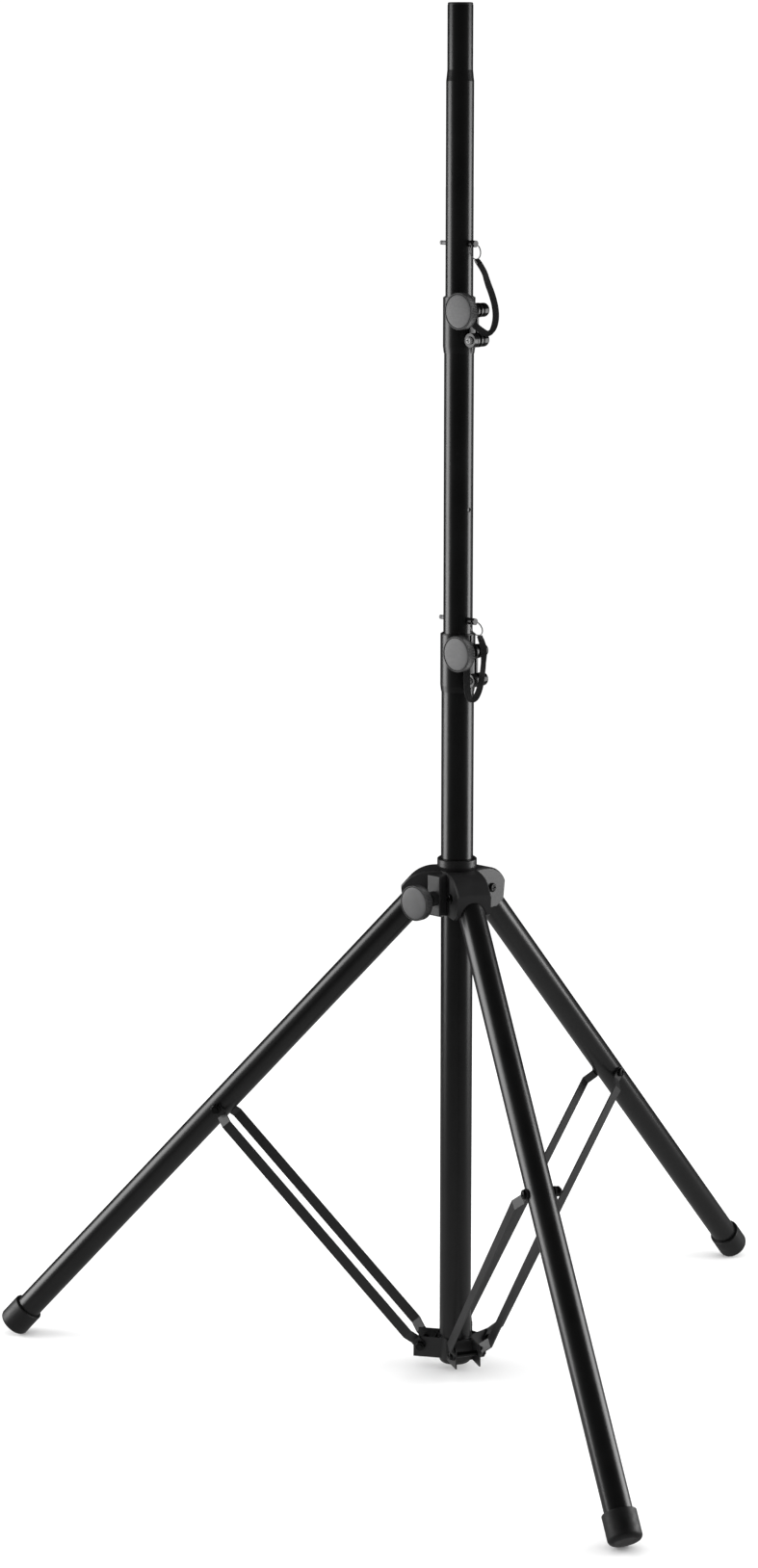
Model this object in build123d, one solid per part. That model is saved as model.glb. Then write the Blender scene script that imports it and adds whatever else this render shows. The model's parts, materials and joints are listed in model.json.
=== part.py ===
from build123d import *
import math
import os

# A speaker tripod stand: a mast of three nested tubes, a sliding hub with three legs,
# and a fixed bottom bracket with three braces. Millimetres, +Z up, and the origin is on
# the floor under the mast. Leg A points along -Y, leg B to +X +Y and leg C to -X +Y.

# Folding linkage. Hub and bracket pivots have one radius, and leg and brace arms one
# length, so that the hub stays on the mast axis at every angle of fold.
PIVOT_R = 47.0
LINK = 455.0
OPEN_ANGLE = 41.9
FOLD_TRAVEL = 39.5
BRACKET_PIVOT_Z = 37.4
LEG_AZIMUTHS = {"a": -90.0, "b": 30.0, "c": 150.0}
OPEN_SIN = math.sin(math.radians(OPEN_ANGLE))
OPEN_COS = math.cos(math.radians(OPEN_ANGLE))
HUB_PIVOT_Z = BRACKET_PIVOT_Z + 2 * LINK * OPEN_COS
BRACE_PIVOT_R = PIVOT_R + LINK * OPEN_SIN
BRACE_PIVOT_Z = HUB_PIVOT_Z - LINK * OPEN_COS

# Mast tubes, outer radius and wall.
LOW_R, LOW_WALL = 22.75, 1.9
MID_R, MID_WALL = 20.5, 1.1
TOP_R, TOP_WALL = 19.05, 1.8
SPIGOT_R, SPIGOT_WALL = 17.5, 2.5
LOW_Z0, LOW_Z1 = 16.0, 1067.0
MID_Z0, MID_Z1 = 640.0, 1533.0
TOP_Z0, TOP_Z1 = 1200.0, 1939.5
SWAGE_Z0, SWAGE_Z1 = 1839.0, 1854.0
TIP_Z = 1943.0
PLUG_FLANGE, PLUG_STEM = 4.0, 28.0

# Clamp collars: ring centre heights, and the azimuth of the ears and pins.
LOW_COLLAR_Z0, LOW_COLLAR_Z1 = 1002.0, 1083.0
UP_COLLAR_Z0, UP_COLLAR_Z1 = 1473.0, 1549.0
COLLAR_WALL = 1.7
COLLAR_TAPER = 9.0
LOW_KNOB_Z, UP_KNOB_Z = 1061.5, 1532.5
SCREW_DROP = 40.5
LOW_EAR_AZIMUTH, UP_EAR_AZIMUTH = -62.5, -61.5
LOW_BOLT_R, UP_BOLT_R = 33.0, 31.0
EAR_R = 10.0
EAR_THICK = 3.2
SLIT = 4.0
BOSS_T = 12.0
BUSH_LIP = 1.2
SCREW_HEAD_R, SCREW_HEAD_T = 5.4, 3.4
CAP_NUT_R, CAP_NUT_LENGTH, CAP_NUT_BORE = 9.6, 14.6, 10.0
CAP_NUT_NECK_R, CAP_NUT_GAP = 7.2, 3.4

# Fits.
FREE = 0.3
SNUG = 0.05
RUNNING = 0.08
OPEN_PIVOT = 0.3

# Locking pins.
LOW_PIN_Z, UP_PIN_Z = 1103.0, 1622.0
HOLE_PITCH = 155.0
PIN_R = 3.0
PIN_TIP_R = 34.0
PIN_HEAD_R = 4.6
PIN_GROOVE, PIN_GROOVE_WIDTH, PIN_GROOVE_DEPTH = 3.2, 1.4, 0.8
PIN_HEAD_IN, PIN_HEAD_END = 20.8, 3.2
RING_R, RING_WIRE_R = 10.5, 0.8
LOW_RING_AT, LOW_RING_TILT, LOW_FERRULE_TILT = 30.5, 30.0, 30.0
UP_RING_AT, UP_RING_TILT, UP_FERRULE_TILT = 27.5, 10.0, 45.0
RING_SEAT = 0.2
RING_HOLE_R = 2.1
FERRULE_THICK, FERRULE_WIDTH, FERRULE_LENGTH = 4.2, 8.8, 7.0
LANYARD_R = 2.0

# Legs and feet.
LEG_R, LEG_WALL = 19.05, 1.5
CAP_R, CAP_FLOOR, CAP_LENGTH, CAP_FILLET = 23.25, 8.0, 40.0, 7.0
CAP_END_Z = CAP_FILLET * (1 - OPEN_COS) + (CAP_R - CAP_FILLET) * OPEN_SIN
LEG_END = (HUB_PIVOT_Z - CAP_END_Z) / OPEN_COS
LEG_PLUG_LENGTH = 45.0
PIVOT_BOLT_R = 4.0
LEG_HEAD_R = LEG_R + 0.3

# Braces: pairs of flat bars that bow out between their two ends.
BAR_WIDTH, BAR_THICK = 15.0, 2.6
BAR_END_T, BAR_RUN_T = 20.8, 31.0
BAR_FLAT, BAR_JOG = 13.0, 27.0
BRACE_BOLT_HALF = BAR_END_T + BAR_THICK / 2 + FREE

# Bottom bracket.
SLEEVE_R, SLEEVE_Z0, SLEEVE_Z1 = 25.3, 19.0, 51.0
CHANNEL_HALF, CHANNEL_PLATE = 19.0, 2.0
CHANNEL_START_R, CHANNEL_BACK_R, CHANNEL_END_R = 10.0, 26.5, 58.0
CHANNEL_Z0, CHANNEL_Z1 = 20.0, 50.5

# Hub.
HUB_BORE_GAP = 0.4
BUSH_WALL = 1.5
HUB_CORE_R = 29.0
HUB_Z0, HUB_Z1 = 686.0, 746.5
WING_ROOF = ((36.0, 745.8), (60.0, 738.5), (76.0, 723.5))
WING_FOOT_R, WING_TOE_R, WING_TOE_Z = 58.0, 72.5, 694.5
WING_CHAMFER = 2.2
COLLAR_RING_R, COLLAR_RING_Z1 = 28.0, 762.4
RING_FOOT_R, RING_RIM_Z = 26.0, 752.0
CHEEK_IN, CHEEK_OUT = 19.65, 25.0
HUB_KNOB_AZIMUTH = -150.0
HUB_KNOB_Z = 711.5
HUB_BOSS_R, HUB_BOSS_OUT = 10.5, 60.0
PILLAR_R, PILLAR_HALF = 50.0, 12.0
PAD_R, PAD_OUT, PAD_ROOM_R = 6.0, 27.35, 28.0

# Clamp knobs.
KNOB_R, KNOB_DISC, KNOB_SHANK_R = 25.2, 13.0, 9.5
LOW_KNOB_BACK, UP_KNOB_BACK = 25.2, 23.0
HUB_KNOB_FACE = 91.5
KNOB_CAP_R, KNOB_CAP_DEPTH = 23.4, 2.0
STUD_R = 4.0
STUD_END = 7.5
COLLAR_STUD_Z0, COLLAR_SHANK_Z0 = -14.0, 9.5

# Pivot bolts and their nuts.
BOLT_HEAD_R, BOLT_HEAD_T = 6.6, 3.8
NUT_ACROSS, NUT_THICK = 13.0, 5.5
THREAD_SHOWS = 7.5


def aim(azimuth, along=0.0, across=0.0, z=0.0):
    """A frame at a mast azimuth: local X runs outwards, local Y sideways, local Z up."""
    return Rot(0, 0, azimuth) * Pos(along, across, z)


def tangent_axis(r, t, z):
    """A frame in a mast azimuth's own frame whose local Z runs sideways (+Y)."""
    return Pos(r, t, z) * Rot(-90, 0, 0)


def outward_axis(r, z):
    """A frame whose local Z runs outwards (+X)."""
    return Pos(r, 0, z) * Rot(0, 90, 0)


def leg_axis(s):
    """A frame on a leg's centre line, s from the hub pivot, whose local Z runs to the foot."""
    return Pos(PIVOT_R + s * OPEN_SIN, 0, HUB_PIVOT_Z - s * OPEN_COS) * Rot(0, 180 - OPEN_ANGLE, 0)


def rod(frame, radius, length):
    """A solid cylinder from a frame's origin along its Z."""
    return frame * Cylinder(radius, length, align=(Align.CENTER, Align.CENTER, Align.MIN))


def upright(radius, z0, z1):
    """A solid cylinder about the mast axis between two heights."""
    return rod(Pos(0, 0, z0), radius, z1 - z0)


def tube(outer, wall, z0, z1):
    return upright(outer, z0, z1) - upright(outer - wall, z0 - 1, z1 + 1)


def save(name, shape):
    export_step(shape, f"parts/{name}.step")
    print(name, len(shape.solids()), round(shape.volume))


def group(solids):
    """Several separate solids as one node."""
    return Compound(children=list(solids))


def hex_nut(frame, across, thick, bore):
    """A hexagon nut from a frame's origin along its Z, with a chamfered outer corner."""
    body = extrude(RegularPolygon(across / math.sqrt(3), 6), thick)
    dome = Cylinder(across / 2 * 1.09, thick, align=(Align.CENTER, Align.CENTER, Align.MIN))
    dome = chamfer(dome.edges().group_by(Axis.Z)[-1], 1.0)
    hole = Cylinder(bore, 4 * thick)
    return frame * (body & dome - hole)


def pan_head(frame, radius, thick):
    """A rounded screw head with a cross recess, from a frame's origin along its Z."""
    head = Cylinder(radius, thick, align=(Align.CENTER, Align.CENTER, Align.MIN))
    head = fillet(head.edges().group_by(Axis.Z)[-1], thick * 0.6)
    slot = radius * 0.3
    cross = Box(radius * 1.25, slot, thick) + Box(slot, radius * 1.25, thick)
    return frame * (head - Pos(0, 0, thick) * cross)


def drilled(shape, azimuth, z, radius, reach):
    """A shape with a hole straight through the mast at one azimuth."""
    return shape - aim(azimuth) * rod(outward_axis(-reach, z), radius, 2 * reach)


# ---------------------------------------------------------------- mast tubes

def make_low_tube():
    return tube(LOW_R, LOW_WALL, LOW_Z0, LOW_Z1)


def make_low_tube_plug():
    """A pressed-in end plug with a domed face under the low tube."""
    head = upright(LOW_R, LOW_Z0 - 5.0, LOW_Z0 - SNUG)
    head = fillet(head.edges().group_by(Axis.Z)[0], 4.0)
    stem = upright(LOW_R - LOW_WALL - SNUG, LOW_Z0 - 2.0, LOW_Z0 + 18.0)
    return head + stem


def make_sliding_plug(outer, wall, z0, bore):
    """A guide plug in the lower end of a sliding tube."""
    flange = upright(outer, z0 - PLUG_FLANGE, z0 - SNUG)
    stem = upright(outer - wall - SNUG, z0 - PLUG_FLANGE / 2, z0 + PLUG_STEM)
    return flange + stem - upright(bore, z0 - PLUG_FLANGE - 1, z0 + PLUG_STEM + 1)


def make_mid_tube():
    shape = tube(MID_R, MID_WALL, MID_Z0, MID_Z1)
    for step in (-1, 0, 1):
        shape = drilled(shape, LOW_EAR_AZIMUTH, LOW_PIN_Z + step * HOLE_PITCH, PIN_R + RUNNING, 30)
    return shape


def make_top_tube():
    """The top tube, swaged down to the speaker spigot."""
    outer = [(0, TOP_Z0), (TOP_R, TOP_Z0), (TOP_R, SWAGE_Z0), (SPIGOT_R, SWAGE_Z1)]
    outer += [(SPIGOT_R, TOP_Z1), (0, TOP_Z1)]
    inner_r = TOP_R - TOP_WALL
    tip_r = SPIGOT_R - SPIGOT_WALL
    inner = [(0, TOP_Z0 - 1), (inner_r, TOP_Z0 - 1), (inner_r, SWAGE_Z0 - 6), (tip_r, SWAGE_Z0 + 9)]
    inner += [(tip_r, TOP_Z1 + 1), (0, TOP_Z1 + 1)]
    shape = revolve(Plane.XZ * make_face(Polyline(*outer, close=True)), Axis.Z)
    shape -= revolve(Plane.XZ * make_face(Polyline(*inner, close=True)), Axis.Z)
    for step in (-2, -1, 0):
        shape = drilled(shape, UP_EAR_AZIMUTH, UP_PIN_Z + step * HOLE_PITCH, PIN_R + RUNNING, 30)
    return shape


def make_tip_plug():
    """The thin-rimmed plug that closes the spigot."""
    rim = upright(SPIGOT_R - 0.3, TOP_Z1 + SNUG, TIP_Z)
    rim = fillet(rim.edges().group_by(Axis.Z)[-1], 1.6)
    return rim + upright(SPIGOT_R - SPIGOT_WALL - SNUG, TOP_Z1 - 18.0, TOP_Z1 + 1.0)


# ---------------------------------------------------------------- clamp collars

def ear_side(bolt_r, inner_t, outer_t, z_knob):
    """One ear plate: two round lugs and the web between them, in the ears' own frame."""
    z_screw = z_knob - SCREW_DROP
    near, far = sorted((inner_t, outer_t))
    thick = far - near
    plate = rod(tangent_axis(bolt_r, near, z_knob), EAR_R, thick)
    plate += rod(tangent_axis(bolt_r, near, z_screw), EAR_R, thick)
    web = Box(14.0, thick, SCREW_DROP + 6.0)
    plate += Pos(bolt_r - 6.0, near + thick / 2, (z_knob + z_screw) / 2) * web
    for z in (z_knob, z_screw):
        root = Box(bolt_r - 20.0, thick, 2 * EAR_R - 1.0)
        plate += Pos((bolt_r + 20.0) / 2, near + thick / 2, z) * root
    return plate


def make_collar(tube_r, z0, z1, ear_azimuth, bolt_r, z_knob):
    """A clamp sleeve on a tube's top end: a slit, two ears and a boss for the lower screw."""
    inner = tube_r + SNUG
    outer = inner + COLLAR_WALL
    profile = [(inner, z0), (inner + 0.6, z0), (outer, z0 + COLLAR_TAPER), (outer, z1), (inner, z1)]
    sleeve = revolve(Plane.XZ * make_face(Polyline(*profile, close=True)), Axis.Z)
    half = SLIT / 2
    ears = ear_side(bolt_r, half, half + EAR_THICK, z_knob)
    ears += ear_side(bolt_r, -half - EAR_THICK, -half, z_knob)
    screw_z = z_knob - SCREW_DROP
    ears += rod(tangent_axis(bolt_r, -BOSS_T, screw_z), EAR_R - 0.4, BOSS_T - half)
    ears -= upright(inner + 0.4, z0 - 1, z1 + 1)
    for z in (z_knob, screw_z):
        ears -= rod(tangent_axis(bolt_r, -30, z), STUD_R + RUNNING, 60)
    slit = Pos(outer, 0, (z0 + z1) / 2) * Box(2 * COLLAR_WALL + 6, SLIT, z1 - z0 + 2)
    body = sleeve - aim(ear_azimuth) * slit
    return body + aim(ear_azimuth) * ears


def make_bush(tube_r, inner_r, z0, z1):
    """A plastic ring in the collar's mouth that guides the sliding tube."""
    return upright(tube_r, z0 + SNUG, z1 + BUSH_LIP) - upright(inner_r + RUNNING, z0 - 1, z1 + 3)


def make_clamp_screw(ear_azimuth, bolt_r, z_knob):
    z = z_knob - SCREW_DROP
    frame = Pos(bolt_r, -BOSS_T - SNUG, z) * Rot(90, 0, 0)
    head = pan_head(frame, SCREW_HEAD_R, SCREW_HEAD_T)
    shank = rod(tangent_axis(bolt_r, -BOSS_T - SNUG, z), STUD_R - 0.5, BOSS_T + 12.0)
    return aim(ear_azimuth) * (head + shank)


def make_cap_nuts(ear_azimuth, bolt_r, z_knob):
    """Domed plastic nuts on the far side of both bolts."""
    nuts = []
    for z, bore in ((z_knob, STUD_R + RUNNING), (z_knob - SCREW_DROP, STUD_R - 0.5 + SNUG)):
        frame = tangent_axis(bolt_r, SLIT / 2 + EAR_THICK + SNUG, z)
        dome = rod(frame * Pos(0, 0, CAP_NUT_GAP), CAP_NUT_R, CAP_NUT_LENGTH - CAP_NUT_GAP)
        dome = fillet(dome.edges().sort_by(Axis.Y)[-1], CAP_NUT_R / 2)
        nut = dome + rod(frame, CAP_NUT_NECK_R, CAP_NUT_GAP + 1)
        nuts.append(aim(ear_azimuth) * (nut - rod(frame * Pos(0, 0, -1), bore, CAP_NUT_BORE + 1)))
    return group(nuts)


# ---------------------------------------------------------------- knobs

def make_knob(back, shank_from):
    """A disc knob whose local Z is its screw axis: shank, disc, and a recess in the face."""
    disc = rod(Pos(0, 0, back), KNOB_R, KNOB_DISC)
    disc = fillet(disc.edges().group_by(Axis.Z)[-1], 1.2)
    disc = chamfer(disc.edges().group_by(Axis.Z)[0], 2.0)
    shape = disc + rod(Pos(0, 0, shank_from), KNOB_SHANK_R, back - shank_from + 1)
    shape -= rod(Pos(0, 0, back + KNOB_DISC - KNOB_CAP_DEPTH), KNOB_CAP_R, KNOB_CAP_DEPTH + 1)
    return shape - rod(Pos(0, 0, shank_from - 1), STUD_R + SNUG, back - shank_from + STUD_END + 1.5)


def make_knob_cap(back):
    """The inlaid face disc."""
    base = back + KNOB_DISC - KNOB_CAP_DEPTH
    disc = rod(Pos(0, 0, base + SNUG), KNOB_CAP_R - SNUG, KNOB_CAP_DEPTH - SNUG + 0.3)
    return fillet(disc.edges().group_by(Axis.Z)[-1], 0.6)


def make_stud(start, end):
    return rod(Pos(0, 0, start), STUD_R, end - start)


def collar_knob_frame(ear_azimuth, bolt_r, z_knob):
    """The knob's screw runs sideways through the ears, and the knob is on its -Y side."""
    return aim(ear_azimuth, bolt_r, 0, z_knob) * Rot(90, 0, 0)


def hub_knob_frame():
    return aim(HUB_KNOB_AZIMUTH, 0, 0, HUB_KNOB_Z) * Rot(0, 90, 0)


def save_knob(name, frame, back, shank_from, stud_from):
    save(f"{name}_knob", frame * make_knob(back, shank_from))
    save(f"{name}_knob_cap", frame * make_knob_cap(back))
    save(f"{name}_knob_stud", frame * make_stud(stud_from, back + STUD_END))


# ---------------------------------------------------------------- locking pins

def make_pin(azimuth, z, ring_at):
    """A round pin with a stepped head and a cross hole for its ring."""
    shape = rod(outward_axis(-PIN_TIP_R, z), PIN_R, PIN_TIP_R + PIN_HEAD_IN + 2)
    shape += rod(outward_axis(PIN_HEAD_IN, z), PIN_HEAD_R, ring_at + PIN_HEAD_END - PIN_HEAD_IN)
    groove = rod(outward_axis(PIN_GROOVE - PIN_TIP_R, z), PIN_R + 1, PIN_GROOVE_WIDTH)
    groove -= rod(outward_axis(-PIN_TIP_R, z), PIN_R - PIN_GROOVE_DEPTH, PIN_TIP_R)
    ring_hole = rod(tangent_axis(ring_at, -10, z), RING_HOLE_R, 20)
    shape = shape - groove - ring_hole
    return aim(azimuth) * shape


def make_ring(azimuth, z, ring_at, tilt):
    """A wire ring that hangs in the pin's cross hole."""
    hang = Rot(0, -tilt, 0) * Pos(0, 0, -RING_R) * Rot(0, 90, 0)
    return aim(azimuth, ring_at, 0, z) * hang * Torus(RING_R, RING_WIRE_R)


def make_ferrule(azimuth, z, ring_at, ring_tilt, tilt):
    """The crimped sleeve on the lower side of a ring, where the strap begins."""
    ring_foot = Rot(0, -ring_tilt, 0) * Pos(0, 0, -2 * RING_R) * Rot(0, ring_tilt, 0)
    below = Rot(0, -tilt, 0) * Pos(0, 0, -RING_WIRE_R - RING_SEAT - FERRULE_LENGTH)
    sleeve = extrude(RectangleRounded(FERRULE_THICK, FERRULE_WIDTH, FERRULE_THICK / 3), FERRULE_LENGTH)
    return aim(azimuth, ring_at, 0, z) * ring_foot * below * sleeve


def route_tube(name, points, radius):
    """A tube of straight runs and tangent arcs, each arc as large as its runs allow."""
    places = [Vector(*p) for p in points]
    radii = []
    for before, here, after in zip(places, places[1:], places[2:]):
        run_in = here - before
        run_out = after - here
        half_turn = math.radians(run_in.get_angle(run_out)) / 2
        radii.append(0.45 * min(run_in.length, run_out.length) / math.tan(half_turn))
    path = FilletPolyline(*places, radius=radii)
    profile = Plane(origin=path @ 0, z_dir=path % 0) * Circle(radius)
    shape = sweep(profile, path)
    filled = shape.volume / (math.pi * radius ** 2 * path.length)
    print(name, "radii", [round(r, 1) for r in radii])
    print(name, "length", round(path.length, 1), "volume over section times length", round(filled, 3))
    return shape


UPPER_STRAP = [
    (17.6, -32.4, 1595.6),
    (21.9, -40.4, 1586.5),
    (25.2, -44.0, 1571.0),
    (32.2, -44.0, 1554.0),
    (37.0, -43.5, 1537.7),
    (38.4, -43.0, 1523.0),
    (36.2, -42.5, 1511.0),
    (32.0, -42.0, 1503.2),
    (25.5, -41.0, 1500.8),
    (17.0, -39.0, 1506.5),
    (9.6, -36.8, 1512.8),
    (3.6, -34.5, 1519.5),
]

LOWER_STRAP = [
    (20.8, -39.97, 1077.8),
    (23.3, -44.8, 1068.4),
    (22.6, -45.2, 1053.5),
    (21.6, -44.6, 1037.0),
    (19.6, -43.8, 1021.5),
    (16.9, -43.4, 1009.0),
    (12.8, -43.0, 999.5),
    (8.8, -42.8, 995.6),
    (3.6, -42.7, 996.6),
    (0.6, -42.5, 1002.5),
    (-0.6, -42.2, 1012.0),
    (-0.6, -41.2, 1024.5),
    (0.2, -39.0, 1038.0),
    (0.9, -37.0, 1048.5),
]


# ---------------------------------------------------------------- hub

def hub_wing():
    """One wing of the hub in its own azimuth frame: a falling, bowed roof over two cheeks."""
    roof_start, roof_middle, roof_end = WING_ROOF
    below = Polyline(roof_end, (WING_TOE_R, WING_TOE_Z), (WING_FOOT_R, HUB_Z0), (0, HUB_Z0), (0, HUB_Z1))
    above = Polyline((0, HUB_Z1), (HUB_CORE_R, HUB_Z1), roof_start)
    outline = make_face([ThreePointArc(roof_start, roof_middle, roof_end), *below.edges(), *above.edges()])
    wing = extrude(Plane.XZ * outline, CHEEK_OUT, both=True)
    shoulders = []
    for face in wing.faces().filter_by(Axis.Y):
        outer = face.edges().filter_by_position(Axis.X, HUB_CORE_R, roof_end[0])
        shoulders += outer.filter_by_position(Axis.Z, roof_end[1], HUB_Z1)
    wing = chamfer(shoulders, WING_CHAMFER)
    front = wing.edges().filter_by(Axis.Y).group_by(Axis.X)[-1]
    return fillet(front, 1.5)


def leg_pocket():
    """The room a leg's head sweeps from open to folded, in its own azimuth frame."""
    gap_r = LEG_HEAD_R + FREE
    reach = 110.0
    foot_z = HUB_PIVOT_Z - reach
    open_end = (PIVOT_R + reach * OPEN_SIN, HUB_PIVOT_Z - reach * OPEN_COS)
    swept = [(PIVOT_R, HUB_PIVOT_Z), open_end, (PIVOT_R + 60, foot_z)]
    swept += [(PIVOT_R - gap_r, foot_z), (PIVOT_R - gap_r, HUB_PIVOT_Z)]
    pocket = extrude(Plane.XZ * make_face(Polyline(*swept, close=True)), CHEEK_IN, both=True)
    pocket += rod(tangent_axis(PIVOT_R, -CHEEK_IN, HUB_PIVOT_Z), gap_r, 2 * CHEEK_IN)
    return pocket + rod(leg_axis(0), gap_r, 80)


def knob_pillar():
    """The square pillar between two wings that carries the hub's clamp knob."""
    height = HUB_Z1 - 2.0 - HUB_Z0
    pillar = Pos(PILLAR_R / 2, 0, HUB_Z0 + height / 2) * Box(PILLAR_R, 2 * PILLAR_HALF, height)
    outer = pillar.faces().sort_by(Axis.X)[-1].edges()
    return fillet(outer, 2.0) + rod(outward_axis(0, HUB_KNOB_Z), HUB_BOSS_R, HUB_BOSS_OUT)


def make_hub():
    """The hub casting: a core on the mast, three wings with leg pockets and the knob's pillar."""
    shape = upright(HUB_CORE_R, HUB_Z0, HUB_Z1)
    for azimuth in LEG_AZIMUTHS.values():
        shape += aim(azimuth) * hub_wing()
    shape += aim(HUB_KNOB_AZIMUTH) * knob_pillar()
    for azimuth in LEG_AZIMUTHS.values():
        shape -= aim(azimuth) * leg_pocket()
        shape -= aim(azimuth) * rod(tangent_axis(PIVOT_R, -40, HUB_PIVOT_Z), PIVOT_BOLT_R + SNUG, 80)
    core = LOW_R + HUB_BORE_GAP + BUSH_WALL + SNUG
    shape -= upright(core, HUB_Z0 - 1, HUB_Z1 + 1)
    knob_bore = rod(outward_axis(0, HUB_KNOB_Z), STUD_R + RUNNING, HUB_BOSS_OUT + 5)
    pad_bore = rod(outward_axis(0, HUB_KNOB_Z), PAD_R + FREE, PAD_ROOM_R)
    return shape - aim(HUB_KNOB_AZIMUTH) * (knob_bore + pad_bore)


def make_hub_bush():
    """The slide bush in the hub, with the thick ring on top of it."""
    inner = LOW_R + HUB_BORE_GAP
    sleeve = upright(inner + BUSH_WALL, HUB_Z0, HUB_Z1 + 1)
    outline = [(0, HUB_Z1 + SNUG), (RING_FOOT_R, HUB_Z1 + SNUG), (COLLAR_RING_R, RING_RIM_Z)]
    outline += [(COLLAR_RING_R, COLLAR_RING_Z1), (0, COLLAR_RING_Z1)]
    ring = revolve(Plane.XZ * make_face(Polyline(*outline, close=True)), Axis.Z)
    ring = chamfer(ring.edges().group_by(Axis.Z)[-1], 1.0)
    shape = sleeve + ring - upright(inner, HUB_Z0 - 1, COLLAR_RING_Z1 + 1)
    return shape - aim(HUB_KNOB_AZIMUTH) * rod(outward_axis(0, HUB_KNOB_Z), PAD_R + FREE, 40.0)


def make_hub_pad():
    """The pressure pad between the hub knob's stud and the mast."""
    pad = rod(outward_axis(LOW_R - 3, HUB_KNOB_Z), PAD_R, PAD_OUT - LOW_R + 3)
    mast = upright(LOW_R + FREE, HUB_KNOB_Z - 20, HUB_KNOB_Z + 20)
    return aim(HUB_KNOB_AZIMUTH) * (pad - mast)


def pivot_bolt(r, z, half):
    """A pivot bolt: rounded head on -Y, thread on +Y, in an azimuth's own frame."""
    head = pan_head(Pos(r, -half, z) * Rot(90, 0, 0), BOLT_HEAD_R, BOLT_HEAD_T)
    return head + rod(tangent_axis(r, -half, z), PIVOT_BOLT_R, 2 * half + THREAD_SHOWS)


def pivot_nut(r, z, half):
    return hex_nut(tangent_axis(r, half, z), NUT_ACROSS, NUT_THICK, PIVOT_BOLT_R + SNUG)


# ---------------------------------------------------------------- bottom bracket

def make_bracket():
    """The welded bottom bracket: a sleeve round the low tube and three open channels."""
    shape = upright(SLEEVE_R, SLEEVE_Z0, SLEEVE_Z1)
    middle = (CHANNEL_Z0 + CHANNEL_Z1) / 2
    height = CHANNEL_Z1 - CHANNEL_Z0
    outward = (Align.MIN, Align.CENTER, Align.CENTER)
    for azimuth in LEG_AZIMUTHS.values():
        channel = Box(CHANNEL_END_R - CHANNEL_START_R, 2 * CHANNEL_HALF, height, align=outward)
        channel -= Box(CHANNEL_END_R, 2 * (CHANNEL_HALF - CHANNEL_PLATE), height + 2, align=outward)
        back = Pos(CHANNEL_BACK_R - CHANNEL_START_R, 0, 0)
        back *= Box(CHANNEL_PLATE, 2 * CHANNEL_HALF, height, align=outward)
        holes = rod(tangent_axis(PIVOT_R, -40, BRACKET_PIVOT_Z), PIVOT_BOLT_R + SNUG, 80)
        shape += aim(azimuth) * (Pos(CHANNEL_START_R, 0, middle) * (channel + back) - holes)
    return shape - upright(LOW_R + SNUG, SLEEVE_Z0 - 1, SLEEVE_Z1 + 1)


# ---------------------------------------------------------------- legs and braces

def leg_room(head_r):
    """All of a leg's length below the hub pivot, with a round end of a given radius about it."""
    head = rod(tangent_axis(PIVOT_R, -30, HUB_PIVOT_Z), head_r, 60)
    return rod(leg_axis(0), LEG_R + 5, LEG_END) + head


def make_leg_tube(azimuth):
    """A leg tube whose upper end is rounded about the hub pivot."""
    start = -LEG_HEAD_R
    length = LEG_END - CAP_FLOOR - start
    shape = rod(leg_axis(start), LEG_R, length)
    shape -= rod(leg_axis(start - 1), LEG_R - LEG_WALL, length + 2)
    shape &= leg_room(LEG_HEAD_R)
    shape -= rod(tangent_axis(PIVOT_R, -40, HUB_PIVOT_Z), PIVOT_BOLT_R + RUNNING, 80)
    shape -= rod(tangent_axis(BRACE_PIVOT_R, -40, BRACE_PIVOT_Z), PIVOT_BOLT_R + SNUG, 80)
    return aim(azimuth) * shape


def make_leg_plug(azimuth):
    """The moulded plug in a leg's upper end, which bears on the pivot bolt."""
    radius = LEG_R - LEG_WALL - SNUG
    shape = rod(leg_axis(-LEG_R), radius, LEG_PLUG_LENGTH) & leg_room(LEG_R - 1)
    shape -= rod(tangent_axis(PIVOT_R, -40, HUB_PIVOT_Z), PIVOT_BOLT_R + RUNNING, 80)
    return aim(azimuth) * shape


def make_foot_cap(azimuth):
    """The rubber foot: a cup on the leg's end with a rounded rim."""
    shape = rod(Pos(0, 0, -CAP_LENGTH), CAP_R, CAP_LENGTH)
    shape = fillet(shape.edges().group_by(Axis.Z)[-1], CAP_FILLET)
    shape = fillet(shape.edges().group_by(Axis.Z)[0], 1.5)
    shape -= rod(Pos(0, 0, SNUG - CAP_FLOOR - CAP_LENGTH), LEG_R + SNUG, CAP_LENGTH)
    return aim(azimuth) * leg_axis(LEG_END) * shape


def brace_bolt_set(azimuth):
    """The bolt through leg and brace, with its nut."""
    bolt = pivot_bolt(BRACE_PIVOT_R, BRACE_PIVOT_Z, BRACE_BOLT_HALF)
    nut = pivot_nut(BRACE_PIVOT_R, BRACE_PIVOT_Z, BRACE_BOLT_HALF)
    return group([aim(azimuth) * bolt, aim(azimuth) * nut])


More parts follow.
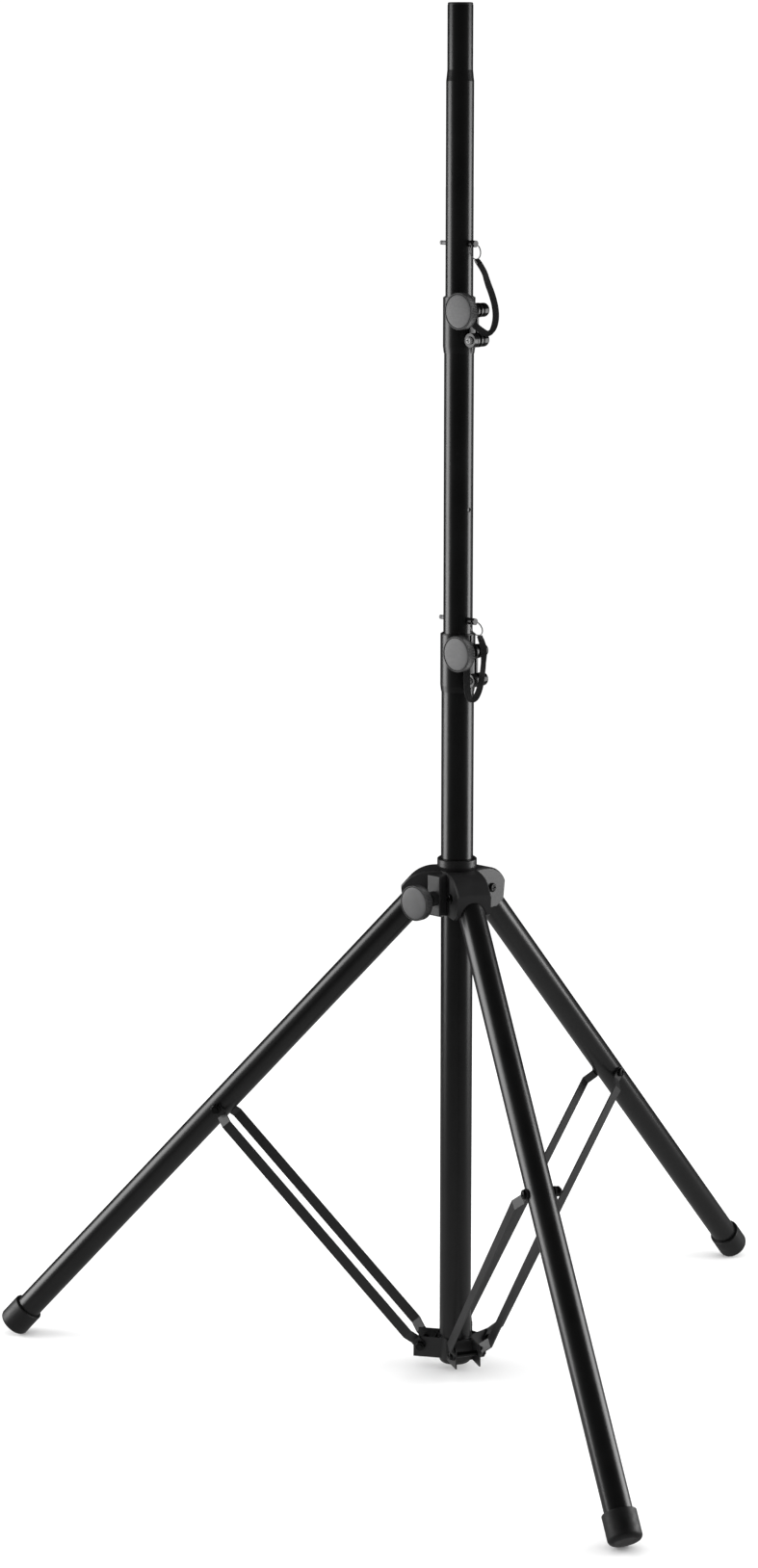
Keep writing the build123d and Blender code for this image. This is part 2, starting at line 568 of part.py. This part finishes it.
def make_bar(azimuth, side, bracket_gap):
    """One flat bar from the bracket pivot to the leg, bowed out sideways between them."""
    inner = BAR_END_T - BAR_THICK / 2
    bow = BAR_RUN_T - BAR_THICK / 2
    end = BAR_WIDTH / 2
    near = [(-end, inner), (BAR_FLAT, inner), (BAR_JOG, bow)]
    near += [(LINK - BAR_JOG, bow), (LINK - BAR_FLAT, inner), (LINK + end, inner)]
    far = [(LINK + end, inner + BAR_THICK), (LINK - BAR_FLAT + 1, inner + BAR_THICK)]
    far += [(LINK - BAR_JOG + 1, bow + BAR_THICK), (BAR_JOG - 1, bow + BAR_THICK)]
    far += [(BAR_FLAT - 1, inner + BAR_THICK), (-end, inner + BAR_THICK)]
    shape = extrude(make_face(Polyline(*near, *far, close=True)), end, both=True)
    rounded = extrude(SlotOverall(LINK + BAR_WIDTH, BAR_WIDTH), 60, both=True)
    shape &= Pos(LINK / 2, 0, 0) * Rot(90, 0, 0) * rounded
    shape -= Rot(-90, 0, 0) * Cylinder(PIVOT_BOLT_R + bracket_gap, 100)
    shape -= Pos(LINK, 0, 0) * Rot(-90, 0, 0) * Cylinder(PIVOT_BOLT_R + RUNNING, 100)
    if side < 0:
        shape = mirror(shape, Plane.XZ)
    tilt = Pos(PIVOT_R, 0, BRACKET_PIVOT_Z) * Rot(0, -(90 - OPEN_ANGLE), 0)
    return aim(azimuth) * tilt * shape


# ---------------------------------------------------------------- everything

def save_mast():
    save("low_tube", make_low_tube())
    save("low_tube_plug", make_low_tube_plug())
    save("mid_tube", make_mid_tube())
    save("mid_tube_plug", make_sliding_plug(MID_R, MID_WALL, MID_Z0, TOP_R - 8.0))
    save("top_tube", make_top_tube())
    save("top_tube_plug", make_sliding_plug(TOP_R, TOP_WALL, TOP_Z0, TOP_R - 9.0))
    save("tip_plug", make_tip_plug())


def save_collar(name, tube_r, tube_end, inner_r, span, azimuth, bolt_r, knob_z, knob_back):
    """A clamp collar with all that is bolted to it."""
    save(f"{name}_collar", make_collar(tube_r, *span, azimuth, bolt_r, knob_z))
    save(f"{name}_bush", make_bush(tube_r, inner_r, tube_end, span[1]))
    save(f"{name}_clamp_screw", make_clamp_screw(azimuth, bolt_r, knob_z))
    save(f"{name}_cap_nuts", make_cap_nuts(azimuth, bolt_r, knob_z))
    frame = collar_knob_frame(azimuth, bolt_r, knob_z)
    save_knob(name, frame, knob_back, COLLAR_SHANK_Z0, COLLAR_STUD_Z0)


def save_pin(name, azimuth, z, ring_at, ring_tilt, ferrule_tilt, route):
    save(f"{name}_pin", make_pin(azimuth, z, ring_at))
    save(f"{name}_pin_ring", make_ring(azimuth, z, ring_at, ring_tilt))
    save(f"{name}_ring_ferrule", make_ferrule(azimuth, z, ring_at, ring_tilt, ferrule_tilt))
    save(f"{name}_lanyard", route_tube(f"{name}_lanyard", route, LANYARD_R))


def at_each_leg(make, *sizes):
    """One copy of a piece at each leg's azimuth."""
    return group(aim(azimuth) * make(*sizes) for azimuth in LEG_AZIMUTHS.values())


def save_hub():
    half = CHEEK_OUT + SNUG
    save("hub_casting", make_hub())
    save("hub_bush", make_hub_bush())
    save("hub_pad", make_hub_pad())
    save("hub_bolts", at_each_leg(pivot_bolt, PIVOT_R, HUB_PIVOT_Z, half))
    save("hub_nuts", at_each_leg(pivot_nut, PIVOT_R, HUB_PIVOT_Z, half))
    save_knob("hub", hub_knob_frame(), HUB_KNOB_FACE - KNOB_DISC, HUB_BOSS_OUT + 1.0, PAD_OUT + 0.35)


def save_bottom():
    save("bottom_bracket", make_bracket())
    save("bracket_bolts", at_each_leg(pivot_bolt, PIVOT_R, BRACKET_PIVOT_Z, BRACE_BOLT_HALF))
    save("bracket_nuts", at_each_leg(pivot_nut, PIVOT_R, BRACKET_PIVOT_Z, BRACE_BOLT_HALF))


def save_leg(key, azimuth):
    """A leg with its brace. Only brace A is held at the bracket, so B and C have a wider hole."""
    bracket_gap = RUNNING if key == "a" else OPEN_PIVOT
    save(f"leg_{key}_tube", make_leg_tube(azimuth))
    save(f"leg_{key}_plug", make_leg_plug(azimuth))
    save(f"leg_{key}_foot", make_foot_cap(azimuth))
    save(f"leg_{key}_brace_bolt", brace_bolt_set(azimuth))
    save(f"brace_{key}_bar_left", make_bar(azimuth, -1, bracket_gap))
    save(f"brace_{key}_bar_right", make_bar(azimuth, 1, bracket_gap))


os.makedirs("parts", exist_ok=True)
save_mast()
save_collar("lower", LOW_R, LOW_Z1, MID_R, (LOW_COLLAR_Z0, LOW_COLLAR_Z1), LOW_EAR_AZIMUTH,
            LOW_BOLT_R, LOW_KNOB_Z, LOW_KNOB_BACK)
save_collar("upper", MID_R, MID_Z1, TOP_R, (UP_COLLAR_Z0, UP_COLLAR_Z1), UP_EAR_AZIMUTH,
            UP_BOLT_R, UP_KNOB_Z, UP_KNOB_BACK)
save_pin("lower", LOW_EAR_AZIMUTH, LOW_PIN_Z, LOW_RING_AT, LOW_RING_TILT, LOW_FERRULE_TILT, LOWER_STRAP)
save_pin("upper", UP_EAR_AZIMUTH, UP_PIN_Z, UP_RING_AT, UP_RING_TILT, UP_FERRULE_TILT, UPPER_STRAP)
save_hub()
save_bottom()
for key, azimuth in LEG_AZIMUTHS.items():
    save_leg(key, azimuth)
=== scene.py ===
import json
import math

import bmesh
import bpy
from mathutils import Matrix, Vector


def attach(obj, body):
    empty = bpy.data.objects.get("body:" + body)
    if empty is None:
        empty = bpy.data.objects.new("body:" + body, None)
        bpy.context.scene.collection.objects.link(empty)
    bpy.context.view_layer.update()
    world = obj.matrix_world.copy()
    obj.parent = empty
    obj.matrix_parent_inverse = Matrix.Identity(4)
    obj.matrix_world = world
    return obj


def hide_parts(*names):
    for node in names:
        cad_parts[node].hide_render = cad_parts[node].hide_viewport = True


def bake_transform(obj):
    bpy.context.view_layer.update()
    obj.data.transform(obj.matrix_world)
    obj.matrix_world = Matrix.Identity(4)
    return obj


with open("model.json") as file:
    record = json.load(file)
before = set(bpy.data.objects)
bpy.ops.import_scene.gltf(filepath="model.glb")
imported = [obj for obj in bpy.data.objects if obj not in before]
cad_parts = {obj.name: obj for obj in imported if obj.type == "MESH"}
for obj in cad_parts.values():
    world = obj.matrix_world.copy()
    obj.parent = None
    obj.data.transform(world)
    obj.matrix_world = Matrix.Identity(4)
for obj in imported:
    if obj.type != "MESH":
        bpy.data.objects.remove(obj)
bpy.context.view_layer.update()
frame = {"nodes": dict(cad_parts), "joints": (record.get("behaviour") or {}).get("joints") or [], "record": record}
scene = bpy.context.scene
joints = {joint["name"]: joint for joint in frame["joints"]}
MM = 0.001


# ---------------------------------------------------------------- camera, light and floor

CAMERA_PLACE = (-1.5368, -4.4959, 1.8317)
CAMERA_HEADING = math.radians(-17.547)
CAMERA_DIP = math.radians(11.463)
CAMERA_ROLL = math.radians(0.033)
CAMERA_LENS = 78.959
CAMERA_AZIMUTH = math.atan2(CAMERA_PLACE[1], CAMERA_PLACE[0])
SENSOR_WIDTH = 36.0
SOFTBOX_DISTANCE, SOFTBOX_HEIGHT, SOFTBOX_LENGTH = 2.4, 0.98, 1.9
FLOOR_RADIUS, FLOOR_SEGMENTS = 60.0, 96
FLOOR_TONE = 0.92
ROOM_WHITE, ROOM_DARK = 1.1, 0.03
# Painted reflection of the floor: in gloss the floor glows at this strength by the stand and fades to the dark
# room by this radius.
FLOOR_REFLECTION_GLOW, FLOOR_FADE_RADIUS = 0.45, 2.6


def make_camera():
    data = bpy.data.cameras.new("camera")
    data.lens = CAMERA_LENS
    data.sensor_width = SENSOR_WIDTH
    data.clip_end = 200.0
    camera = bpy.data.objects.new("camera", data)
    camera.location = CAMERA_PLACE
    camera.rotation_euler = (math.pi / 2 - CAMERA_DIP, CAMERA_ROLL, CAMERA_HEADING)
    scene.collection.objects.link(camera)
    scene.camera = camera


def make_softbox(name, turn, width, power):
    """An upright area light, turned by some degrees from the camera about the mast, that faces the mast."""
    data = bpy.data.lights.new(name, "AREA")
    data.shape = "RECTANGLE"
    data.size, data.size_y = width, SOFTBOX_LENGTH
    data.energy = power
    light = bpy.data.objects.new(name, data)
    azimuth = CAMERA_AZIMUTH + math.radians(turn)
    across, away = SOFTBOX_DISTANCE * math.cos(azimuth), SOFTBOX_DISTANCE * math.sin(azimuth)
    light.location = (across, away, SOFTBOX_HEIGHT)
    look = Vector((0, 0, SOFTBOX_HEIGHT)) - light.location
    light.rotation_euler = look.to_track_quat("-Z", "Y").to_euler()
    scene.collection.objects.link(light)


def make_studio():
    """White all round for the eye and for soft shade, but dim in reflections, as in a dark room."""
    scene.view_settings.view_transform = "Standard"
    world = bpy.data.worlds.new("studio")
    world.use_nodes = True
    nodes, links = world.node_tree.nodes, world.node_tree.links
    bright, dim = nodes["Background"], nodes.new("ShaderNodeBackground")
    bright.inputs["Color"].default_value = (1, 1, 1, 1)
    bright.inputs["Strength"].default_value = ROOM_WHITE
    dim.inputs["Color"].default_value = (1, 1, 1, 1)
    dim.inputs["Strength"].default_value = ROOM_DARK
    mix_by_gloss(nodes, links, bright, dim, nodes["World Output"])
    scene.world = world
    make_softbox("left_softbox", turn=-95, width=1.4, power=52)
    make_softbox("right_softbox", turn=99, width=1.3, power=49)


def mix_by_gloss(nodes, links, seen, mirrored, output):
    """One shader for what is seen and what lights the scene, another for what reflects in gloss."""
    mix, ray = nodes.new("ShaderNodeMixShader"), nodes.new("ShaderNodeLightPath")
    links.new(ray.outputs["Is Glossy Ray"], mix.inputs["Fac"])
    links.new(seen.outputs[0], mix.inputs[1])
    links.new(mirrored.outputs[0], mix.inputs[2])
    links.new(mix.outputs["Shader"], output.inputs["Surface"])


def make_floor():
    """A wide matt paper floor; in gloss it glows instead, a painted reflection bright near the stand that fades to
    the dark room.
    """
    mesh = bpy.data.meshes.new("floor")
    model = bmesh.new()
    bmesh.ops.create_circle(model, cap_ends=True, segments=FLOOR_SEGMENTS, radius=FLOOR_RADIUS)
    model.to_mesh(mesh)
    model.free()
    floor = bpy.data.objects.new("floor", mesh)
    scene.collection.objects.link(floor)
    paper = bpy.data.materials.new("paper")
    paper.use_nodes = True
    nodes, links = paper.node_tree.nodes, paper.node_tree.links
    shader = nodes["Principled BSDF"]
    shader.inputs["Base Color"].default_value = (FLOOR_TONE, FLOOR_TONE, FLOOR_TONE, 1)
    shader.inputs["Roughness"].default_value = 0.9
    shader.inputs["Specular IOR Level"].default_value = 0.0
    # Painted reflection: an emission seen only by glossy rays, bright near the stand and dimmer with distance.
    glow, away, fade = (nodes.new(kind) for kind in
                        ("ShaderNodeEmission", "ShaderNodeVectorMath", "ShaderNodeMapRange"))
    away.operation = "LENGTH"
    links.new(nodes.new("ShaderNodeTexCoord").outputs["Object"], away.inputs[0])
    links.new(away.outputs["Value"], fade.inputs["Value"])
    fade.inputs["From Max"].default_value = FLOOR_FADE_RADIUS
    fade.inputs["To Min"].default_value = FLOOR_REFLECTION_GLOW
    fade.inputs["To Max"].default_value = ROOM_DARK
    links.new(fade.outputs["Result"], glow.inputs["Strength"])
    mix_by_gloss(nodes, links, shader, glow, nodes["Material Output"])
    mesh.materials.append(paper)


# ---------------------------------------------------------------- materials

class Finish:
    """A procedural material: a Principled shader and the node chains that vary it."""

    def __init__(self, name, color, roughness, metallic=0.0, specular=0.5):
        self.material = bpy.data.materials.new(name)
        self.material.use_nodes = True
        self.nodes = self.material.node_tree.nodes
        self.links = self.material.node_tree.links
        self.shader = self.nodes["Principled BSDF"]
        self.shader.inputs["Base Color"].default_value = (*color, 1)
        self.shader.inputs["Roughness"].default_value = roughness
        self.shader.inputs["Metallic"].default_value = metallic
        self.shader.inputs["Specular IOR Level"].default_value = specular
        self.place = self.nodes.new("ShaderNodeTexCoord").outputs["Object"]
        self.normal = None

    def coordinates(self, stretch):
        mapping = self.nodes.new("ShaderNodeMapping")
        mapping.inputs["Scale"].default_value = stretch
        self.links.new(self.place, mapping.inputs["Vector"])
        return mapping.outputs["Vector"]

    def noise(self, scale, detail=2.0, stretch=None):
        node = self.nodes.new("ShaderNodeTexNoise")
        node.inputs["Scale"].default_value = scale
        node.inputs["Detail"].default_value = detail
        place = self.coordinates(stretch) if stretch else self.place
        self.links.new(place, node.inputs["Vector"])
        return node.outputs["Fac"]

    def ranged(self, value, low, high, start=0.3, end=0.7):
        node = self.nodes.new("ShaderNodeMapRange")
        node.inputs["From Min"].default_value = start
        node.inputs["From Max"].default_value = end
        node.inputs["To Min"].default_value = low
        node.inputs["To Max"].default_value = high
        self.links.new(value, node.inputs["Value"])
        return node.outputs["Result"]

    def vary_color(self, value, dark, light, start=0.3, end=0.7):
        mix = self.nodes.new("ShaderNodeMix")
        mix.data_type = "RGBA"
        mix.inputs["A"].default_value = (*dark, 1)
        mix.inputs["B"].default_value = (*light, 1)
        self.links.new(self.ranged(value, 0, 1, start, end), mix.inputs["Factor"])
        self.links.new(mix.outputs["Result"], self.shader.inputs["Base Color"])

    def vary_roughness(self, value, low, high):
        self.links.new(self.ranged(value, low, high), self.shader.inputs["Roughness"])

    def bump(self, value, depth, strength=1.0):
        node = self.nodes.new("ShaderNodeBump")
        node.inputs["Distance"].default_value = depth
        node.inputs["Strength"].default_value = strength
        self.links.new(value, node.inputs["Height"])
        if self.normal:
            self.links.new(self.normal, node.inputs["Normal"])
        self.normal = node.outputs["Normal"]
        self.links.new(self.normal, self.shader.inputs["Normal"])


def grey(value):
    """A near-neutral colour with a trace of blue."""
    return (value, value, value * 1.03)


def powder_coat(name, tone, roughness):
    """Baked powder: a fine sandy grain over a faint, slow ripple, a little dust and handling."""
    finish = Finish(name, grey(tone), roughness)
    finish.vary_color(finish.noise(24, 4), grey(tone * 0.85), grey(tone * 1.25))
    finish.vary_roughness(finish.noise(9, 3), roughness - 0.02, roughness + 0.03)
    finish.bump(finish.noise(900, 2), 0.00001, 0.2)
    return finish.material


def moulded(name, tone, roughness, grain, depth, specular=0.5):
    """Moulded nylon or a spark-eroded casting: an even grain of one size."""
    finish = Finish(name, grey(tone), roughness, specular=specular)
    finish.vary_color(finish.noise(60, 3), grey(tone * 0.9), grey(tone * 1.12))
    finish.vary_roughness(finish.noise(grain, 2), roughness - 0.05, roughness + 0.06)
    finish.bump(finish.noise(grain, 3), depth, 0.7)
    return finish.material


def rubber(name):
    """Dull black rubber with a coarse, soft grain."""
    finish = Finish(name, grey(0.004), 0.5, specular=0.45)
    finish.vary_color(finish.noise(40, 4), grey(0.003), grey(0.006))
    finish.vary_roughness(finish.noise(120, 3), 0.42, 0.56)
    finish.bump(finish.noise(900, 3), 0.00008, 0.6)
    return finish.material


def plated(name, tone, roughness, metallic=1.0):
    """Turned and plated metal: fine turning marks and a cloudy plating."""
    finish = Finish(name, (tone, tone, tone * 0.97), roughness, metallic=metallic)
    finish.vary_color(finish.noise(300, 3), (tone * 0.85,) * 3, (tone * 1.1,) * 3)
    finish.vary_roughness(finish.noise(700, 2, (1, 1, 0.15)), roughness - 0.06, roughness + 0.1)
    finish.bump(finish.noise(2500, 2), 0.00002, 0.4)
    return finish.material


def pin_finish(name):
    """A black coated pin whose far tip, behind the mast, is worn to the bare zinc."""
    finish = Finish(name, grey(0.006), 0.35, specular=0.4)
    along = finish.nodes.new("ShaderNodeVectorMath")
    along.operation = "DOT_PRODUCT"
    finish.links.new(finish.place, along.inputs[0])
    along.inputs[1].default_value = joints["lower_pin_slide"]["axis"]
    finish.vary_color(along.outputs["Value"], grey(0.14), grey(0.006), -18 * MM, -16 * MM)
    finish.bump(finish.noise(1500, 2), 0.00002, 0.4)
    return finish.material


def webbing(name):
    """Flat woven strap: a herringbone of fine ribs in the strap's own UV, in metres."""
    finish = Finish(name, grey(0.008), 0.75, specular=0.25)
    finish.place = finish.nodes["Texture Coordinate"].outputs["UV"]
    weft = finish.nodes.new("ShaderNodeTexWave")
    weft.bands_direction = "Y"
    weft.inputs["Scale"].default_value = 260
    warp = finish.nodes.new("ShaderNodeTexWave")
    warp.bands_direction = "X"
    warp.inputs["Scale"].default_value = 230
    for wave in (weft, warp):
        wave.inputs["Distortion"].default_value = 0.6
        finish.links.new(finish.place, wave.inputs["Vector"])
    product = finish.nodes.new("ShaderNodeMath")
    product.operation = "MULTIPLY"
    finish.links.new(weft.outputs["Fac"], product.inputs[0])
    finish.links.new(warp.outputs["Fac"], product.inputs[1])
    weave = product.outputs["Value"]
    finish.vary_color(weave, grey(0.004), grey(0.022), 0.0, 0.8)
    finish.bump(weave, 0.0003, 0.8)
    finish.bump(finish.noise(3000, 2), 0.00005, 0.5)
    finish.shader.inputs["Sheen Weight"].default_value = 0.08
    finish.shader.inputs["Sheen Roughness"].default_value = 0.5
    return finish.material


def make_materials():
    return {
        "powder_black": powder_coat("powder_black", 0.0030, 0.30),
        "collar_black": powder_coat("collar_black", 0.0036, 0.32),
        "hub_black": moulded("hub_black", 0.013, 0.42, grain=800, depth=0.00004),
        "bush_black": moulded("bush_black", 0.007, 0.38, grain=900, depth=0.00003),
        "knob_grey": moulded("knob_grey", 0.020, 0.45, grain=700, depth=0.00004),
        "knob_face": moulded("knob_face", 0.043, 0.45, grain=600, depth=0.00005),
        "cap_rubber": rubber("cap_rubber"),
        "nut_black": moulded("nut_black", 0.002, 0.22, grain=500, depth=0.00001, specular=0.3),
        "bar_black": powder_coat("bar_black", 0.008, 0.40),
        "bolt_dark": plated("bolt_dark", 0.03, 0.35),
        "zinc": plated("zinc", 0.22, 0.45, metallic=0.5),
        "pin_steel": pin_finish("pin_steel"),
        "ring_wire": plated("ring_wire", 0.2, 0.3, metallic=0.9),
        "strap_black": webbing("strap_black"),
    }


def dress_cad_nodes(materials):
    """Give each CAD node the material that its row in the record names."""
    for row in frame["record"]["subparts"]:
        node = frame["nodes"][row["node"]]
        node.data.materials.clear()
        node.data.materials.append(materials[row["material_slot"]])


# ---------------------------------------------------------------- mesh helpers

SHARP_EDGE = math.radians(38)
CORNER_STEPS = 5


def make_piece(name, body, slot, materials, vertices, faces):
    """A smooth-shaded mesh in one material, riding on a body if one is given."""
    mesh = bpy.data.meshes.new(name)
    mesh.from_pydata([tuple(v) for v in vertices], [], faces)
    model = bmesh.new()
    model.from_mesh(mesh)
    bmesh.ops.recalc_face_normals(model, faces=model.faces)
    model.to_mesh(mesh)
    model.free()
    mesh.polygons.foreach_set("use_smooth", [True] * len(mesh.polygons))
    mesh.set_sharp_from_angle(angle=SHARP_EDGE)
    mesh.materials.append(materials[slot])
    piece = bpy.data.objects.new(name, mesh)
    scene.collection.objects.link(piece)
    if body:
        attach(piece, body)
    return piece


def lathe(profile, segments, place, radius_at=None):
    """Vertices and faces of a profile of (radius, height) turned about a frame's Z axis."""
    vertices, faces = [], []
    for radius, height in profile:
        for step in range(segments):
            angle = math.tau * step / segments
            r = radius_at(radius, height, step) if radius_at else radius
            vertices.append(place @ Vector((r * math.cos(angle), r * math.sin(angle), height)))
    for ring in range(len(profile) - 1):
        for step in range(segments):
            after = (step + 1) % segments
            low, high = ring * segments, (ring + 1) * segments
            faces.append((low + step, low + after, high + after, high + step))
    faces.append(tuple(range(segments)))
    faces.append(tuple(range((len(profile) - 1) * segments, len(profile) * segments)))
    return vertices, faces


def quarter(radius, height, size, start, end):
    """Profile points of a rounded corner about its own centre, angles in degrees."""
    turns = [math.radians(start + (end - start) * i / CORNER_STEPS) for i in range(CORNER_STEPS + 1)]
    return [(radius + size * math.cos(turn), height + size * math.sin(turn)) for turn in turns]


# ---------------------------------------------------------------- clamp knobs

RIB_COUNT = 72
RIB_STEPS = 8
RIB_DEPTH = 1.0 * MM
KNOB_DISC = 13.0 * MM
RIB_START, RIB_STOP = 2.6 * MM, 0.9 * MM
FACE_R, FACE_SEGMENTS = 22.9 * MM, 96
SHANK_R = 9.5 * MM


def knob_place(joint):
    """A frame on the knob's screw axis whose Z runs out to its face."""
    along = Vector(joint["axis"])
    side = Vector((0, 0, 1)).cross(along).normalized()
    rows = Matrix((side, along.cross(side), along)).transposed().to_4x4()
    return Matrix.Translation(Vector(joint["pos_m"])) @ rows


def knob_extent(node, place):
    """Lowest and highest point of a CAD node along the knob's axis, and its radius."""
    local = [place.inverted() @ v.co for v in frame["nodes"][node].data.vertices]
    heights = [v.z for v in local]
    return min(heights), max(heights), max(math.hypot(v.x, v.y) for v in local)


def make_knob(key, materials):
    """A disc knob with a ribbed rim between two smooth lips, and a gently domed face."""
    place = knob_place(joints[f"{key}_knob_turn"])
    low, high, radius = knob_extent(f"{key}_knob", place)
    back = high - KNOB_DISC
    ribs = (back + RIB_START, high - RIB_STOP)
    profile = [(SHANK_R - 1 * MM, low), (SHANK_R, low + 1 * MM), (SHANK_R, back - 1.5 * MM)]
    profile += [(SHANK_R + 1.5 * MM, back), (radius - 3 * MM, back)]
    profile += quarter(radius - 2 * MM, back + 2 * MM, 1.6 * MM, -80, 0)
    profile += [(radius - 0.1 * MM, ribs[0] - 0.3 * MM), (radius, ribs[0] + 0.5 * MM)]
    profile += [(radius, ribs[1] - 0.4 * MM), (radius - 0.3 * MM, ribs[1] + 0.2 * MM)]
    profile += quarter(radius - 0.7 * MM, high - 0.5 * MM, 0.5 * MM, 10, 90)
    profile += [(FACE_R + 1.1 * MM, high), (FACE_R + 0.9 * MM, high - 1.3 * MM)]

    def ribbed(r, height, step):
        if not ribs[0] < height < ribs[1]:
            return r
        wave = 0.5 - 0.5 * math.cos(math.tau * step / RIB_STEPS)
        return r - RIB_DEPTH * wave

    vertices, faces = lathe(profile, RIB_COUNT * RIB_STEPS, place, ribbed)
    body = f"{key}_knob_body"
    knob = make_piece(f"{key}_knob_grip", body, "knob_grey", materials, vertices, faces)
    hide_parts(f"{key}_knob")
    dome = [(FACE_R * math.sin(a), high - 0.1 * MM + 1.0 * MM * (math.cos(a) - 0.2) / 0.8)
            for a in (math.radians(90 - 8 * i) for i in range(1, 11))]
    rim = [(FACE_R, high - 1.5 * MM), (FACE_R, high - 0.4 * MM)]
    vertices, faces = lathe(rim + dome, FACE_SEGMENTS, place)
    face = make_piece(f"{key}_knob_face", body, "knob_face", materials, vertices, faces)
    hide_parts(f"{key}_knob_cap")


# ---------------------------------------------------------------- straps

STRAP_WIDTH, STRAP_THICK = 9.0 * MM, 1.5 * MM
# The share of a strap, from the pin's ring, that its first length takes.
RING_END_PERCENT = 35
SPLINE_STEPS = 16

# Each point is x, y, z in metres and the turn of the strap's flat face from the front, in degrees.
UPPER_STRAP = [
    (0.0160, -0.0294, 1.5990, -30),
    (0.0219, -0.0404, 1.5865, -30),
    (0.0252, -0.0440, 1.5710, -10),
    (0.0322, -0.0440, 1.5540, 0),
    (0.0370, -0.0435, 1.5377, 0),
    (0.0384, -0.0430, 1.5230, 0),
    (0.0362, -0.0425, 1.5110, 15),
    (0.0320, -0.0420, 1.5032, 45),
    (0.0255, -0.0410, 1.5008, 35),
    (0.0170, -0.0390, 1.5065, 0),
    (0.0096, -0.0368, 1.5128, 0),
    (0.0036, -0.0345, 1.5195, 0),
]
LOWER_STRAP = [
    (0.0202, -0.0388, 1.0800, -25),
    (0.0233, -0.0448, 1.0684, 15),
    (0.0226, -0.0452, 1.0535, 40),
    (0.0216, -0.0446, 1.0370, 35),
    (0.0196, -0.0438, 1.0215, 20),
    (0.0169, -0.0434, 1.0090, 10),
    (0.0128, -0.0430, 0.9995, 10),
    (0.0088, -0.0428, 0.9956, 30),
    (0.0036, -0.0427, 0.9966, 30),
    (0.0006, -0.0425, 1.0025, 10),
    (-0.0006, -0.0422, 1.0120, 0),
    (-0.0006, -0.0412, 1.0245, 0),
    (0.0002, -0.0390, 1.0380, 0),
    (0.0009, -0.0370, 1.0485, 0),
]


def spline_points(name, route):
    """Points read along the NURBS spline through a route's control points."""
    data = bpy.data.curves.new(name, "CURVE")
    data.dimensions = "3D"
    spline = data.splines.new("NURBS")
    spline.points.add(len(route) - 1)
    for point, spot in zip(spline.points, route):
        point.co = (*spot[:3], 1)
    spline.order_u = 3
    spline.use_endpoint_u = True
    spline.resolution_u = SPLINE_STEPS
    holder = bpy.data.objects.new(name, data)
    mesh = bpy.data.meshes.new_from_object(holder)
    points = [v.co.copy() for v in mesh.vertices]
    bpy.data.meshes.remove(mesh)
    bpy.data.objects.remove(holder)
    bpy.data.curves.remove(data)
    return points


def strap_section():
    """The outline of the strap's cross-section, as points across it and through it."""
    edge, half = STRAP_THICK / 2, STRAP_WIDTH / 2
    outline = []
    for side in (1, -1):
        for i in range(7):
            angle = math.radians(-90 + 30 * i)
            outline.append((side * (half - edge + edge * math.cos(angle)), side * edge * math.sin(angle)))
        for i in range(1, 4):
            across = side * (half - edge) * (1 - i / 2)
            outline.append((across, side * edge))
    return outline


def strap_mesh(points, turns, start, end):
    """A flat strap along points[start..end], its face turned from the front about its line."""
    front = Vector((math.cos(CAMERA_AZIMUTH), math.sin(CAMERA_AZIMUTH), 0))
    section = strap_section()
    vertices, faces, uvs = [], [], []
    run = 0.0
    for i in range(start, end + 1):
        before, after = points[max(i - 1, 0)], points[min(i + 1, len(points) - 1)]
        tangent = (after - before).normalized()
        if i > start:
            run += (points[i] - points[i - 1]).length
        share = i / (len(points) - 1) * (len(turns) - 1)
        k = min(int(share), len(turns) - 2)
        turn = math.radians(turns[k] + (turns[k + 1] - turns[k]) * (share - k))
        face = (front - tangent * front.dot(tangent)).normalized()
        face = Matrix.Rotation(turn, 3, tangent) @ face
        across = tangent.cross(face)
        for x, y in section:
            vertices.append(points[i] + across * x + face * y)
            uvs.append((x + y, run))
    count = len(section)
    for ring in range(end - start):
        for j in range(count):
            k = (j + 1) % count
            low, high = ring * count, (ring + 1) * count
            faces.append((low + j, low + k, high + k, high + j))
    faces.append(tuple(range(count)))
    faces.append(tuple(range((end - start) * count, (end - start + 1) * count)))
    return vertices, faces, uvs


def make_strap(key, route, bodies, materials):
    """A strap in two lengths, one from the collar and one from the pin's ring."""
    fixed_body, tube_body, pin_body = bodies
    points = spline_points(f"{key}_route", route)
    turns = [spot[3] for spot in route]
    middle = len(points) * RING_END_PERCENT // 100
    lengths = (
        ("ring", 0, middle, (tube_body, pin_body)),
        ("collar", middle, len(points) - 1, (fixed_body, tube_body)),
    )
    for part, start, end, pair in lengths:
        vertices, faces, uvs = strap_mesh(points, turns, start, end)
        name = f"{key}_strap_{part}_end"
        piece = make_piece(name, None, "strap_black", materials, vertices, faces)
        layer = piece.data.uv_layers.new(name="along")
        for loop in piece.data.loops:
            layer.data[loop.index].uv = uvs[loop.vertex_index]
        if part == "ring":
            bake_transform(piece)
        else:
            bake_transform(piece)
        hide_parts(f"{key}_lanyard")


# ---------------------------------------------------------------- the whole

make_camera()
make_studio()
make_floor()
materials = make_materials()
dress_cad_nodes(materials)
for key in ("lower", "upper", "hub"):
    make_knob(key, materials)
make_strap("upper", UPPER_STRAP, ("mid_mast", "top_mast", "upper_pin_body"), materials)
make_strap("lower", LOWER_STRAP, ("base", "mid_mast", "lower_pin_body"), materials)
